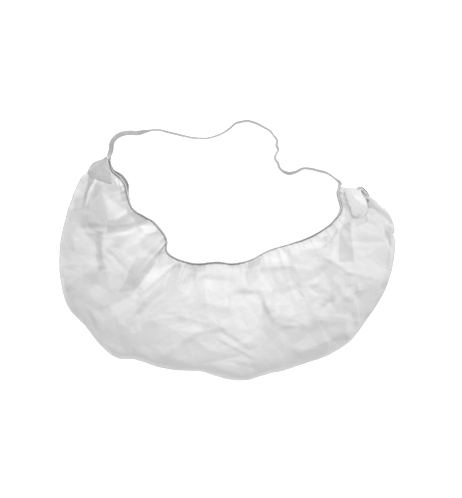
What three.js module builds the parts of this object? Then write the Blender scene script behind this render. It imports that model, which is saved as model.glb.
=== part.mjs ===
// Disposable beard net, lying on a flat surface with its mouth at the back (+Y).
// One thin sheet of nonwoven cloth is gathered into a crescent pouch. A flat elastic runs
// along the front (upper) and the back (lower) edge of the mouth, the gathered ends of the
// sheet are turned over, and one flat elastic strand joins the two ends as the head loop.
// Millimetres, +Z up, origin under the middle of the net, on the surface that it lies on.
import * as THREE from "three";

// The pouch
const netWidth = 300; // outline, from side to side
const netDepth = 200; // from the lowest point of the hem to the tip of the left end
const crownHeight = 32; // highest part of the puffed front layer
const hemHeight = 12; // height of the outline's widest line above the surface
const mouthOpening = 15; // clear height of the mouth in the middle
const clothWall = 1.2;
const crownPlace = 0.46; // share of a section, from the mouth, where it is highest
const hemRoundness = 3.2; // exponent of the section's curve from crown to hem
const flatShare = 0.8; // share of the back layer that lies flat on the surface

// The elastics
const elasticWidth = 4.6; // the band stands on its edge
const elasticThickness = 1.3;
const seatGap = 0.55; // between an elastic and the edge of the cloth
const joinGap = 0.4; // between the ends of two elastics
const floorGap = 0.1; // under the back elastic
const headElasticGap = 0.4; // under the head elastic
const headElasticLead = 1.8; // level stretch at each of its ends

// The gathers along the mouth
const gatherHeight = 1.2;
const gatherPitch = 14;
const gatherReach = 18; // how far into the cloth they fade

// The turned-over ends
const tuckThickness = 2;
const tuckGap = 0.9; // between a turned-over end and the pouch
const tuckRuffle = 0.6;
const tuckStartShare = 0.2; // part of a section, from the mouth, over which it lies
const tuckEndShare = 0.88;
const tuckInsetShare = 0.006; // from the pouch's end, as a share of its length

// Grids of the faceted solids
const pouchColumns = 92;
const topRows = 13;
const underRows = 7;
const tuckColumns = 12;
const tuckRows = 8;
const elasticSteps = 66;

// Sections from the left end to the right one. Places are shares: x of half the net's
// width, y of its depth. crown, mouth and hem are shares of their heights, and lip is how
// far the back edge stands out from under the front one, as a share of the net's width.
const sections = [
  { mouthX: -0.72, mouthY: 0.985, hemX: -0.743, hemY: 0.987, crown: 0.38, mouth: 0, hem: 0.5, lip: 0 },
  { mouthX: -0.7, mouthY: 0.932, hemX: -0.833, hemY: 0.933, crown: 0.44, mouth: 0.02, hem: 0.6, lip: 0.004 },
  { mouthX: -0.645, mouthY: 0.892, hemX: -0.9, hemY: 0.857, crown: 0.54, mouth: 0.06, hem: 0.7, lip: 0.011 },
  { mouthX: -0.619, mouthY: 0.863, hemX: -0.94, hemY: 0.772, crown: 0.64, mouth: 0.14, hem: 0.8, lip: 0.009 },
  { mouthX: -0.605, mouthY: 0.825, hemX: -0.98, hemY: 0.675, crown: 0.74, mouth: 0.26, hem: 0.9, lip: 0.002 },
  { mouthX: -0.577, mouthY: 0.765, hemX: -1, hemY: 0.567, crown: 0.83, mouth: 0.4, hem: 0.97, lip: 0 },
  { mouthX: -0.502, mouthY: 0.717, hemX: -0.994, hemY: 0.451, crown: 0.89, mouth: 0.55, hem: 1, lip: 0 },
  { mouthX: -0.433, mouthY: 0.682, hemX: -0.952, hemY: 0.33, crown: 0.93, mouth: 0.7, hem: 1, lip: 0 },
  { mouthX: -0.374, mouthY: 0.625, hemX: -0.854, hemY: 0.239, crown: 0.96, mouth: 0.83, hem: 1, lip: 0 },
  { mouthX: -0.371, mouthY: 0.568, hemX: -0.719, hemY: 0.129, crown: 0.98, mouth: 0.92, hem: 1, lip: 0 },
  { mouthX: -0.281, mouthY: 0.517, hemX: -0.544, hemY: 0.091, crown: 1, mouth: 0.97, hem: 1, lip: 0 },
  { mouthX: -0.176, mouthY: 0.503, hemX: -0.343, hemY: 0.047, crown: 1, mouth: 1, hem: 1, lip: 0 },
  { mouthX: -0.069, mouthY: 0.514, hemX: -0.139, hemY: 0.029, crown: 1, mouth: 1, hem: 1, lip: 0 },
  { mouthX: 0.033, mouthY: 0.506, hemX: 0.063, hemY: 0, crown: 1, mouth: 1, hem: 1, lip: 0 },
  { mouthX: 0.137, mouthY: 0.522, hemX: 0.263, hemY: 0.026, crown: 1, mouth: 1, hem: 1, lip: 0 },
  { mouthX: 0.251, mouthY: 0.57, hemX: 0.439, hemY: 0.067, crown: 0.99, mouth: 0.97, hem: 1, lip: 0 },
  { mouthX: 0.37, mouthY: 0.6, hemX: 0.602, hemY: 0.11, crown: 0.98, mouth: 0.9, hem: 1, lip: 0 },
  { mouthX: 0.484, mouthY: 0.625, hemX: 0.738, hemY: 0.178, crown: 0.96, mouth: 0.78, hem: 1, lip: 0 },
  { mouthX: 0.581, mouthY: 0.664, hemX: 0.847, hemY: 0.292, crown: 0.92, mouth: 0.62, hem: 1, lip: 0 },
  { mouthX: 0.648, mouthY: 0.706, hemX: 0.933, hemY: 0.395, crown: 0.87, mouth: 0.45, hem: 1, lip: 0 },
  { mouthX: 0.688, mouthY: 0.758, hemX: 0.987, hemY: 0.517, crown: 0.79, mouth: 0.3, hem: 0.95, lip: 0.002 },
  { mouthX: 0.679, mouthY: 0.8, hemX: 1, hemY: 0.638, crown: 0.69, mouth: 0.18, hem: 0.85, lip: 0.003 },
  { mouthX: 0.671, mouthY: 0.83, hemX: 0.964, hemY: 0.741, crown: 0.59, mouth: 0.09, hem: 0.75, lip: 0.004 },
  { mouthX: 0.671, mouthY: 0.845, hemX: 0.845, hemY: 0.802, crown: 0.49, mouth: 0.03, hem: 0.62, lip: 0.003 },
  { mouthX: 0.677, mouthY: 0.86, hemX: 0.785, hemY: 0.853, crown: 0.4, mouth: 0, hem: 0.5, lip: 0 },
];

// Main folds of the front layer, each a tent along a line. Places are shares as above, rise
// is a share of the crown height, and left and right are its two flanks as shares of the
// net's width, seen from above along the line.
const folds = [
  { x0: -0.76, y0: 0.9, x1: -0.86, y1: 0.67, rise: 0.07, left: 0.05, right: 0.035 },
  { x0: -0.84, y0: 0.67, x1: -0.6, y1: 0.66, rise: -0.08, left: 0.045, right: 0.045 },
  { x0: -0.78, y0: 0.51, x1: -0.96, y1: 0.42, rise: -0.09, left: 0.05, right: 0.06 },
  { x0: -0.72, y0: 0.56, x1: -0.42, y1: 0.67, rise: 0.08, left: 0.05, right: 0.05 },
  { x0: -0.42, y0: 0.55, x1: -0.56, y1: 0.39, rise: -0.1, left: 0.06, right: 0.04 },
  { x0: -0.36, y0: 0.5, x1: -0.55, y1: 0.25, rise: 0.1, left: 0.035, right: 0.07 },
  { x0: -0.55, y0: 0.4, x1: -0.76, y1: 0.28, rise: -0.07, left: 0.05, right: 0.05 },
  { x0: -0.27, y0: 0.46, x1: -0.32, y1: 0.36, rise: 0.05, left: 0.03, right: 0.03 },
  { x0: -0.03, y0: 0.23, x1: -0.37, y1: 0.11, rise: -0.1, left: 0.06, right: 0.05 },
  { x0: -0.12, y0: 0.44, x1: -0.06, y1: 0.25, rise: -0.07, left: 0.05, right: 0.035 },
  { x0: -0.04, y0: 0.18, x1: 0.13, y1: 0.11, rise: 0.06, left: 0.035, right: 0.05 },
  { x0: 0.21, y0: 0.38, x1: 0.16, y1: 0.23, rise: 0.08, left: 0.035, right: 0.07 },
  { x0: 0.36, y0: 0.54, x1: 0.57, y1: 0.33, rise: -0.1, left: 0.05, right: 0.06 },
  { x0: 0.18, y0: 0.49, x1: 0.35, y1: 0.48, rise: -0.05, left: 0.04, right: 0.04 },
  { x0: 0.56, y0: 0.54, x1: 0.9, y1: 0.45, rise: -0.1, left: 0.06, right: 0.06 },
  { x0: 0.46, y0: 0.43, x1: 0.56, y1: 0.49, rise: 0.07, left: 0.04, right: 0.04 },
  { x0: 0.68, y0: 0.67, x1: 0.65, y1: 0.54, rise: -0.07, left: 0.03, right: 0.05 },
  { x0: 0.21, y0: 0.29, x1: 0.53, y1: 0.32, rise: 0.07, left: 0.05, right: 0.07 },
  { x0: 0.84, y0: 0.8, x1: 0.95, y1: 0.6, rise: -0.06, left: 0.035, right: 0.035 },
];
const foldFade = 0.04; // how far a fold runs out past its ends, as a share of the net's width
const foldHemShare = 0.22; // share of a section over which folds die out towards the hem
const foldMouthShare = 0.12; // and towards the mouth

// Route of the head elastic between the two ends, as shares: x of half the net's width,
// y of its depth. Its first and last points come from the elastics that it meets.
const headRoute = [
  [-0.698, 1.03], [-0.692, 1.048], [-0.681, 1.069], [-0.656, 1.089], [-0.614, 1.102],
  [-0.58, 1.104], [-0.539, 1.103], [-0.491, 1.11], [-0.443, 1.116], [-0.402, 1.115],
  [-0.361, 1.107], [-0.299, 1.096], [-0.224, 1.083], [-0.168, 1.079], [-0.114, 1.08],
  [-0.066, 1.09], [-0.024, 1.104], [0.013, 1.123], [0.049, 1.146], [0.084, 1.153],
  [0.118, 1.157], [0.166, 1.148], [0.214, 1.13], [0.255, 1.112], [0.279, 1.089],
  [0.299, 1.068], [0.294, 1.048], [0.304, 1.029], [0.287, 1], [0.288, 0.981],
  [0.303, 0.968], [0.31, 0.949], [0.33, 0.932], [0.37, 0.921], [0.415, 0.929],
  [0.448, 0.942], [0.487, 0.943], [0.54, 0.934], [0.599, 0.921], [0.647, 0.896],
];

// Outlines of the turned-over ends on the pouch: how far each reaches along it at the
// mouth, at its peak and at the hem, as shares of the pouch's length.
const leftTuckReach = { mouth: 0.035, peak: 0.115, peakPlace: 0.3, hem: 0.06, ruffles: 3 };
const rightTuckReach = { mouth: 0.05, peak: 0.12, peakPlace: 0.55, hem: 0.05, ruffles: 2 };

const clamp01 = (value) => THREE.MathUtils.clamp(value, 0, 1);
const placeOf = (x, y) => new THREE.Vector2((x * netWidth) / 2, y * netDepth);

// A smooth curve through one pair or triple of the section table's columns.
function columnCurve(first, second, third) {
  const points = sections.map((row) => new THREE.Vector3(row[first], row[second], third ? row[third] : 0));
  return new THREE.CatmullRomCurve3(points, false, "centripetal");
}

const mouthCurve = columnCurve("mouthX", "mouthY");
const hemCurve = columnCurve("hemX", "hemY");
const heightCurve = columnCurve("crown", "mouth", "hem");
const lipCurve = columnCurve("lip", "lip");

// Gathers, counted along the mouth.
const mouthPoints = mouthCurve.getPoints(pouchColumns).map((point) => placeOf(point.x, point.y));
const mouthLength = mouthPoints.slice(1).reduce((sum, point, i) => sum + point.distanceTo(mouthPoints[i]), 0);
const gatherCount = Math.round(mouthLength / gatherPitch);

// Centre heights of the two mouth elastics: the back one stands on the surface, and the
// front one is at least one band above it.
const backElasticHeight = floorGap + elasticWidth / 2;
const frontElasticHeight = (mouthShare) =>
  backElasticHeight + elasticWidth + joinGap + mouthOpening * mouthShare;

// What a section is at share u of the pouch's length.
function sectionAt(u) {
  const mouthShares = mouthCurve.getPoint(u);
  const hemShares = hemCurve.getPoint(u);
  const heights = heightCurve.getPoint(u);
  const front = placeOf(mouthShares.x, mouthShares.y);
  const hem = placeOf(hemShares.x, hemShares.y);
  const tangent = mouthCurve.getTangent(u);
  const along = placeOf(tangent.x, tangent.y).normalize();
  const outward = new THREE.Vector2(-along.y, along.x); // from the hem's side to the mouth's
  const back = front.clone().addScaledVector(outward, lipCurve.getPoint(u).x * netWidth);
  return {
    front,
    back,
    hem,
    along,
    outward,
    length: front.distanceTo(hem),
    crown: crownHeight * heights.x,
    edge: frontElasticHeight(heights.y) + clothWall / 2,
    side: hemHeight * heights.z,
  };
}

// Height that the folds add at a place seen from above: each is a tent with two flanks.
function foldRise(place) {
  let rise = 0;
  for (const fold of folds) {
    const start = placeOf(fold.x0, fold.y0);
    const line = placeOf(fold.x1, fold.y1).sub(start);
    const length = line.length();
    const offset = place.clone().sub(start);
    const along = offset.dot(line) / length;
    const side = line.cross(offset) / length;
    const flank = netWidth * (side > 0 ? fold.left : fold.right);
    const past = Math.max(0, -along, along - length);
    const tent = clamp01(1 - Math.abs(side) / flank) * clamp01(1 - past / (foldFade * netWidth));
    rise += crownHeight * fold.rise * tent;
  }
  return rise;
}

// Spreads rows evenly near the mouth and closer together at the hem.
const crowded = (share) => (share + Math.sin((share * Math.PI) / 2)) / 2;

// A point of the front layer's upper face at share w from the mouth to the hem.
function frontPoint(u, w) {
  const section = sectionAt(u);
  const place = section.front.clone().lerp(section.hem, w);
  const beyond = clamp01((w - crownPlace) / (1 - crownPlace));
  const before = clamp01(1 - w / crownPlace);
  const lift = w < crownPlace ? 1 - before ** 2 : (1 - beyond ** hemRoundness) ** (1 / hemRoundness);
  const low = w < crownPlace ? section.edge : section.side;
  const wave = Math.cos(2 * Math.PI * gatherCount * u);
  const gather = gatherHeight * wave * Math.exp((-w * section.length) / gatherReach);
  const depth = clamp01(w / foldMouthShare) * clamp01((1 - w) / foldHemShare);
  const fold = (foldRise(place) * depth * section.crown) / crownHeight;
  return new THREE.Vector3(place.x, place.y, low + (section.crown - low) * lift + gather + fold);
}

// The front layer's direction out at the same place.
function frontNormal(u, w) {
  const step = 0.004;
  const across = frontPoint(u, Math.min(w + step, 1)).sub(frontPoint(u, Math.max(w - step, 0)));
  const along = frontPoint(Math.min(u + step, 1), w).sub(frontPoint(Math.max(u - step, 0), w));
  return across.cross(along).normalize();
}

// A point of the back layer's lower face at share w from the mouth to the hem.
function backPoint(u, w) {
  const section = sectionAt(u);
  const place = section.back.clone().lerp(section.hem, w);
  const beyond = clamp01((w - flatShare) / (1 - flatShare));
  const before = clamp01(1 - w / (1 - flatShare));
  const roll = section.side * (1 - Math.sqrt(1 - beyond ** 2));
  return new THREE.Vector3(place.x, place.y, roll + (backElasticHeight - clothWall) * before ** 2);
}

// The pouch's outer face: round runs from the mouth's front edge over the top, round the
// hem and under the net to the back edge.
const topShare = topRows / (topRows + underRows);
const skin = (u, round) =>
  round < topShare
    ? frontPoint(u, crowded(round / topShare))
    : backPoint(u, crowded((1 - round) / (1 - topShare)));

// A closed plate between a grid of outer points and the same grid moved in by the wall.
function shell(columns, rows, outerPoint, wall) {
  const outer = [];
  for (let i = 0; i <= columns; i++)
    for (let j = 0; j <= rows; j++) outer.push(outerPoint(i / columns, j / rows));
  const at = (i, j) => i * (rows + 1) + j;
  const inner = [];
  const alongRow = new THREE.Vector3();
  const acrossRow = new THREE.Vector3();
  for (let i = 0; i <= columns; i++)
    for (let j = 0; j <= rows; j++) {
      alongRow.subVectors(outer[at(Math.min(i + 1, columns), j)], outer[at(Math.max(i - 1, 0), j)]);
      acrossRow.subVectors(outer[at(i, Math.min(j + 1, rows))], outer[at(i, Math.max(j - 1, 0))]);
      const normal = acrossRow.clone().cross(alongRow).normalize();
      inner.push(outer[at(i, j)].clone().addScaledVector(normal, -wall));
    }
  const points = [...outer, ...inner];
  const shift = outer.length;
  const triangles = [];
  const quad = (a, b, c, d) => triangles.push(a, b, c, a, c, d);
  for (let i = 0; i < columns; i++)
    for (let j = 0; j < rows; j++) {
      quad(at(i, j), at(i, j + 1), at(i + 1, j + 1), at(i + 1, j));
      quad(at(i, j) + shift, at(i + 1, j) + shift, at(i + 1, j + 1) + shift, at(i, j + 1) + shift);
    }
  for (let i = 0; i < columns; i++) {
    quad(at(i, 0), at(i + 1, 0), at(i + 1, 0) + shift, at(i, 0) + shift);
    quad(at(i, rows), at(i, rows) + shift, at(i + 1, rows) + shift, at(i + 1, rows));
  }
  for (let j = 0; j < rows; j++) {
    quad(at(0, j), at(0, j) + shift, at(0, j + 1) + shift, at(0, j + 1));
    quad(at(columns, j), at(columns, j + 1), at(columns, j + 1) + shift, at(columns, j) + shift);
  }
  const geometry = new THREE.BufferGeometry();
  geometry.setAttribute("position", new THREE.Float32BufferAttribute(points.flatMap((p) => p.toArray()), 3));
  geometry.setIndex(triangles);
  return geometry;
}

// A flat band with its corners taken off, swept on its edge along a curve.
function elasticBand(points, steps) {
  const half = new THREE.Vector2(elasticWidth, elasticThickness).divideScalar(2);
  const chamfer = elasticThickness / 4;
  const outline = new THREE.Shape([
    new THREE.Vector2(-half.x, -half.y + chamfer),
    new THREE.Vector2(-half.x + chamfer, -half.y),
    new THREE.Vector2(half.x - chamfer, -half.y),
    new THREE.Vector2(half.x, -half.y + chamfer),
    new THREE.Vector2(half.x, half.y - chamfer),
    new THREE.Vector2(half.x - chamfer, half.y),
    new THREE.Vector2(-half.x + chamfer, half.y),
    new THREE.Vector2(-half.x, half.y - chamfer),
  ]);
  const extrudePath = new THREE.CatmullRomCurve3(points, false, "centripetal");
  return new THREE.ExtrudeGeometry(outline, { steps, extrudePath });
}

// Centre of a mouth elastic beside an edge of the cloth.
function elasticCentre(u, edgeName, height) {
  const section = sectionAt(u);
  const place = section[edgeName].clone().addScaledVector(section.outward, seatGap + elasticThickness / 2);
  return new THREE.Vector3(place.x, place.y, height(section));
}

function mouthElastic(edgeName, height) {
  const points = [];
  for (let i = 0; i <= elasticSteps; i++) points.push(elasticCentre(i / elasticSteps, edgeName, height));
  return elasticBand(points, elasticSteps);
}

const frontHeight = (section) => section.edge - clothWall / 2;
const backHeight = () => backElasticHeight;

// The head elastic stands on the surface and rises at each end to face both mouth elastics.
function headElastic() {
  const height = headElasticGap + elasticWidth / 2;
  const stackHeight = (backElasticHeight + frontElasticHeight(0)) / 2;
  const endAt = (u, way, lead) => {
    const centre = elasticCentre(u, "front", () => stackHeight);
    const along = sectionAt(u).along.multiplyScalar(way * (joinGap + elasticThickness / 2 + lead));
    return centre.add(new THREE.Vector3(along.x, along.y, 0));
  };
  const route = headRoute.map(([x, y]) => {
    const place = placeOf(x, y);
    return new THREE.Vector3(place.x, place.y, height);
  });
  const start = [endAt(0, -1, 0), endAt(0, -1, headElasticLead)];
  const finish = [endAt(1, 1, headElasticLead), endAt(1, 1, 0)];
  return elasticBand([...start, ...route, ...finish], elasticSteps);
}

// A turned-over end: a ruffled plate that lies on the front layer. u0 is the end of the
// pouch that it starts from, and way the direction that it reaches from there.
function tuck(reach, u0, way) {
  const outerPoint = (a, b) => {
    const w = THREE.MathUtils.lerp(tuckStartShare, tuckEndShare, b);
    const side = w < reach.peakPlace ? reach.mouth : reach.hem;
    const toPeak = w < reach.peakPlace ? w / reach.peakPlace : (1 - w) / (1 - reach.peakPlace);
    const share = way > 0 ? a : 1 - a;
    const u = u0 + way * (tuckInsetShare + share * (side + (reach.peak - side) * toPeak));
    const ruffle = tuckRuffle * (1 + Math.cos(2 * Math.PI * reach.ruffles * b)) * share;
    return frontPoint(u, w).addScaledVector(frontNormal(u, w), tuckGap + tuckThickness + ruffle);
  };
  return shell(tuckColumns, tuckRows, outerPoint, tuckThickness);
}

const cloth = new THREE.MeshStandardMaterial({ color: 0xeeeeee, roughness: 0.85, metalness: 0 });
const stackedCloth = new THREE.MeshStandardMaterial({ color: 0xdedede, roughness: 0.85, metalness: 0 });
const elastic = new THREE.MeshStandardMaterial({ color: 0xa8a8a6, roughness: 0.7, metalness: 0 });

function named(name, geometry, material) {
  const mesh = new THREE.Mesh(geometry, material);
  mesh.name = name;
  return mesh;
}

const net = new THREE.Group();
net.add(
  named("pouch", shell(pouchColumns, topRows + underRows, skin, clothWall), cloth),
  named("front_mouth_elastic", mouthElastic("front", frontHeight), elastic),
  named("back_mouth_elastic", mouthElastic("back", backHeight), elastic),
  named("left_end_tuck", tuck(leftTuckReach, 0, 1), stackedCloth),
  named("right_end_tuck", tuck(rightTuckReach, 1, -1), stackedCloth),
);

// The origin is under the middle of the net itself, so the head elastic is added after it.
const bounds = new THREE.Box3().setFromObject(net);
const middle = bounds.getCenter(new THREE.Vector3());
net.add(named("head_elastic", headElastic(), elastic));
net.position.set(-middle.x, -middle.y, -bounds.min.z);

export default net;
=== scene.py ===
import math
import bpy
import numpy as np
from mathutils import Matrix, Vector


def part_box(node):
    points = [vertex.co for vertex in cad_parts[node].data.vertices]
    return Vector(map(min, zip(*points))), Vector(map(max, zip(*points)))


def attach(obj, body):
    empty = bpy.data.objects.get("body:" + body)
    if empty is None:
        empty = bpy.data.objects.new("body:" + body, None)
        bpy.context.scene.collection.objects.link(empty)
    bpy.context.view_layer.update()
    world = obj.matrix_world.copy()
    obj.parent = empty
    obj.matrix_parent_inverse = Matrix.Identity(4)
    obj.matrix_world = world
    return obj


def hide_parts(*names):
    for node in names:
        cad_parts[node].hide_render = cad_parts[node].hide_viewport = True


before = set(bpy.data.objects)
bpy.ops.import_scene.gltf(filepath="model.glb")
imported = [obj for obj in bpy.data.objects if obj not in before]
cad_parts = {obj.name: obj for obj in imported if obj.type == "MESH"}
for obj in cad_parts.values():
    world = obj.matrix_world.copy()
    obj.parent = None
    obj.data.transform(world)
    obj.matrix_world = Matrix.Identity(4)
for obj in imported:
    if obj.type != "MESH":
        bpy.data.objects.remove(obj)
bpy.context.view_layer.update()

mm = 0.001
tiny = 1e-9  # keeps a division away from zero

# The net's own sizes, the same as the model's. Places along it are shares: x of half its
# width, y of its depth, both from the point under the middle of the photographed net.
net = {
    "width": 300 * mm,
    "depth": 200 * mm,
    "crownHeight": 32 * mm,
    "hemHeight": 12 * mm,
    "mouthOpening": 15 * mm,
    "clothWall": 1.2 * mm,
    "crownPlace": 0.46,
    "hemRoundness": 3.2,
    "flatShare": 0.8,
    "elasticWidth": 4.6 * mm,
    "elasticThickness": 1.3 * mm,
    "seatGap": 0.55 * mm,
    "joinGap": 0.4 * mm,
    "floorGap": 0.1 * mm,
    "headElasticGap": 0.4 * mm,
    "headElasticLead": 1.8 * mm,
}

# The photo's frame in pixels, and where the net lies in it.
photo = {"high": 498, "netMiddleX": 227.5, "hemLowestY": 379, "netWide": 335, "netHigh": 224}

# Sections from the left end to the right one.
# columns: mouth x, mouth y, hem x, hem y, crown, mouth, hem, lip
sections = np.array([
    [-0.72, 0.985, -0.743, 0.987, 0.38, 0, 0.5, 0],
    [-0.7, 0.932, -0.833, 0.933, 0.44, 0.02, 0.6, 0.004],
    [-0.645, 0.892, -0.9, 0.857, 0.54, 0.06, 0.7, 0.011],
    [-0.619, 0.863, -0.94, 0.772, 0.64, 0.14, 0.8, 0.009],
    [-0.605, 0.825, -0.98, 0.675, 0.74, 0.26, 0.9, 0.002],
    [-0.577, 0.765, -1, 0.567, 0.83, 0.4, 0.97, 0],
    [-0.502, 0.717, -0.994, 0.451, 0.89, 0.55, 1, 0],
    [-0.433, 0.682, -0.952, 0.33, 0.93, 0.7, 1, 0],
    [-0.374, 0.625, -0.854, 0.239, 0.96, 0.83, 1, 0],
    [-0.371, 0.568, -0.719, 0.129, 0.98, 0.92, 1, 0],
    [-0.281, 0.517, -0.544, 0.091, 1, 0.97, 1, 0],
    [-0.176, 0.503, -0.343, 0.047, 1, 1, 1, 0],
    [-0.069, 0.514, -0.139, 0.029, 1, 1, 1, 0],
    [0.033, 0.506, 0.063, 0, 1, 1, 1, 0],
    [0.137, 0.522, 0.263, 0.026, 1, 1, 1, 0],
    [0.251, 0.57, 0.439, 0.067, 0.99, 0.97, 1, 0],
    [0.37, 0.6, 0.602, 0.11, 0.98, 0.9, 1, 0],
    [0.484, 0.625, 0.738, 0.178, 0.96, 0.78, 1, 0],
    [0.581, 0.664, 0.847, 0.292, 0.92, 0.62, 1, 0],
    [0.648, 0.706, 0.933, 0.395, 0.87, 0.45, 1, 0],
    [0.688, 0.758, 0.987, 0.517, 0.79, 0.3, 0.95, 0.002],
    [0.679, 0.8, 1, 0.638, 0.69, 0.18, 0.85, 0.003],
    [0.671, 0.83, 0.964, 0.741, 0.59, 0.09, 0.75, 0.004],
    [0.671, 0.845, 0.845, 0.802, 0.49, 0.03, 0.62, 0.003],
    [0.677, 0.86, 0.785, 0.853, 0.4, 0, 0.5, 0],
])


# A smooth curve through the rows of a table, centripetal Catmull-Rom: between rows b and c
# it is the cubic whose slopes come from the four rows a, b, c, d, spaced by the square roots
# of their distances. t runs from 0 at the first row to 1 at the last.
def smoothThrough(table, t):
    table = np.asarray(table, float)
    ends = [2 * table[0] - table[1], 2 * table[-1] - table[-2]]
    rows = np.vstack([ends[0], table, ends[1]])
    along = np.clip(np.asarray(t, float), 0, 1) * (len(table) - 1)
    first = np.minimum(along.astype(int), len(table) - 2)
    share = (along - first)[..., None]
    a, b, c, d = (rows[first + k] for k in range(4))
    gaps = [np.sqrt(np.linalg.norm(q - p, axis=-1, keepdims=True)) for p, q in ((a, b), (b, c), (c, d))]
    middle = np.where(gaps[1] < 1e-4, 1, gaps[1])
    before, after = (np.where(gap < 1e-4, middle, gap) for gap in (gaps[0], gaps[2]))
    slopeB = ((b - a) / before - (c - a) / (before + middle) + (c - b) / middle) * middle
    slopeC = ((c - b) / middle - (d - b) / (middle + after) + (d - c) / after) * middle
    return (
        b
        + slopeB * share
        + (3 * (c - b) - 2 * slopeB - slopeC) * share**2
        + (2 * (b - c) + slopeB + slopeC) * share**3
    )


# 0 below 0, 1 above 1, and in between a cubic that starts and ends level.
def smoothStep(share):
    share = np.clip(share, 0, 1)
    return share**2 * (3 - 2 * share)


# Vectors divided by their lengths.
def unit(vectors):
    return vectors / np.maximum(np.linalg.norm(vectors, axis=-1, keepdims=True), 1e-12)


# How far along a line of points each of them lies.
def lengthAlong(points):
    return np.concatenate([[0], np.cumsum(np.linalg.norm(np.diff(points, axis=0), axis=1))])


# The directions sideways and up along a path: sideways is level, and both are square to it.
def sideAndUp(path):
    forward = unit(np.gradient(path, axis=0))
    side = unit(np.cross([0.0, 0.0, 1.0], forward))
    return side, np.cross(forward, side)


# The plan's origin in the row frame: the hem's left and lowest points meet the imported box.
netScale = np.array([net["width"] / 2, net["depth"]])
fineShares = np.linspace(0, 1, 1200)
hemPlan = smoothThrough(sections[:, 2:4], fineShares) * netScale
planShift = np.array(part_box("pouch")[0])[:2] - hemPlan.min(axis=0)


# Shares of the net's size as a place in the row frame.
def placeOf(shares):
    return np.asarray(shares, float) * netScale + planShift


# A pixel of the photo as a place on the surface under the net.
def photoPlace(x, y):
    across = (np.asarray(x, float) - photo["netMiddleX"]) * (net["width"] / photo["netWide"])
    up = (photo["hemLowestY"] - np.asarray(y, float)) * (net["depth"] / photo["netHigh"])
    return np.stack([across, up], axis=-1) + planShift


# A chart starts each row with a photo pixel. Its other columns are carried along a line of
# places: each row counts at the place nearest to its pixel, and they change evenly between.
def chartAlong(chart, line, marks, wanted):
    rows = np.asarray(chart, float)
    pixels = photoPlace(rows[:, 0], rows[:, 1])
    nearest = np.linalg.norm(line[None] - pixels[:, None], axis=-1).argmin(axis=1)
    return [np.interp(wanted, marks[nearest], column) for column in rows.T[2:]]


backElasticHeight = net["floorGap"] + net["elasticWidth"] / 2
frontElasticLowest = backElasticHeight + net["elasticWidth"] + net["joinGap"]

# How far the mouth's rim runs outside the smooth one: photo pixel x and y of a point of it
# and the distance in mm.
rimChart = np.array([
    [127, 186, 0.2], [132, 207, -0.3], [138, 213, 0.3], [145, 218, 1.2], [151, 221, 1.5],
    [161, 231, 0.5], [166, 242, 0.3], [171, 255, 0.6], [184, 263, 1.9], [198, 265.5, 1.2],
    [215, 265, 0.6], [240, 265, 0.9], [252, 261, 0.9], [269, 252, 0], [289, 245, -0.7], [308, 240, 0.3],
    [336, 221, 0.8], [342, 208, 0],
], float)
# How much of the front elastic the cloth's edge covers, at the same kind of points.
coverChart = np.array([
    [107, 158, 0], [160, 231, 0], [166, 245, 0.05], [171, 256, 0.15], [183, 262, 0.1], [192, 265, 0],
    [236, 265, 0], [246, 263, 0.2], [256, 259, 0.3], [290, 245, 0.28], [300, 242, 0.1], [308, 240, 0],
    [340, 210, 0],
], float)
smoothRim = placeOf(smoothThrough(sections[:, 0:2], fineShares))


# What the sections are at shares u of the pouch's length, as arrays.
def sectionsAt(u):
    u = np.asarray(u, float)
    front = placeOf(smoothThrough(sections[:, 0:2], u))
    hem = placeOf(smoothThrough(sections[:, 2:4], u))
    heights = smoothThrough(sections[:, 4:7], u)
    lip = smoothThrough(sections[:, 7:8], u) * net["width"]
    step = 1e-4
    ahead = smoothThrough(sections[:, 0:2], np.minimum(u + step, 1))
    behind = smoothThrough(sections[:, 0:2], np.maximum(u - step, 0))
    along = unit((ahead - behind) * netScale)
    outward = np.stack([-along[..., 1], along[..., 0]], axis=-1)
    bulge, covered = (chartAlong(chart, smoothRim, fineShares, u)[0] for chart in (rimChart, coverChart))
    front = front + outward * bulge[..., None] * mm
    return {
        "front": front,
        "back": front + outward * lip,
        "hem": hem,
        "along": along,
        "outward": outward,
        "crown": net["crownHeight"] * heights[..., 0],
        "edge": frontElasticLowest + net["mouthOpening"] * heights[..., 1] + net["clothWall"] / 2,
        "side": net["hemHeight"] * heights[..., 2],
        "covered": covered,
    }


# Every new mesh is a grid of points: faces join neighbours, with an optional closing strip
# round the columns and a cap on each end ring. flat is the same grid in the cloth's plane.
def gridPiece(name, points, flat, closed=False, caps=False):
    rows, columns = points.shape[:2]
    index = np.arange(rows * columns).reshape(rows, columns)
    if closed:
        index = np.concatenate([index, index[:, :1]], axis=1)
    corners = lambda grid: np.stack([grid[:-1, :-1], grid[:-1, 1:], grid[1:, 1:], grid[1:, :-1]], axis=2)
    faces = corners(index).reshape(-1, 4).tolist()
    places = corners(flat).reshape(-1, 2)
    if caps:
        faces += [index[0, :-1][::-1].tolist(), index[-1, :-1].tolist()]
        places = np.vstack([places, np.zeros((2 * columns, 2))])
    mesh = bpy.data.meshes.new(name)
    mesh.from_pydata(points.reshape(-1, 3), [], faces)
    layer = mesh.uv_layers.new(name="flat")
    layer.data.foreach_set("uv", places.astype(np.float32).ravel())
    mesh.shade_smooth()
    piece = bpy.data.objects.new(name, mesh)
    bpy.context.scene.collection.objects.link(piece)
    return piece


# The flat plane's coordinates for a grid: one for its rows and one for its columns.
def flatGrid(along, across):
    return np.stack(np.broadcast_arrays(along[:, None], across[None]), axis=-1)


def joinPieces(name, parts):
    with bpy.context.temp_override(
        active_object=parts[0], selected_editable_objects=parts, selected_objects=parts
    ):
        bpy.ops.object.join()
    parts[0].name = parts[0].data.name = name
    return parts[0]


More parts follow.
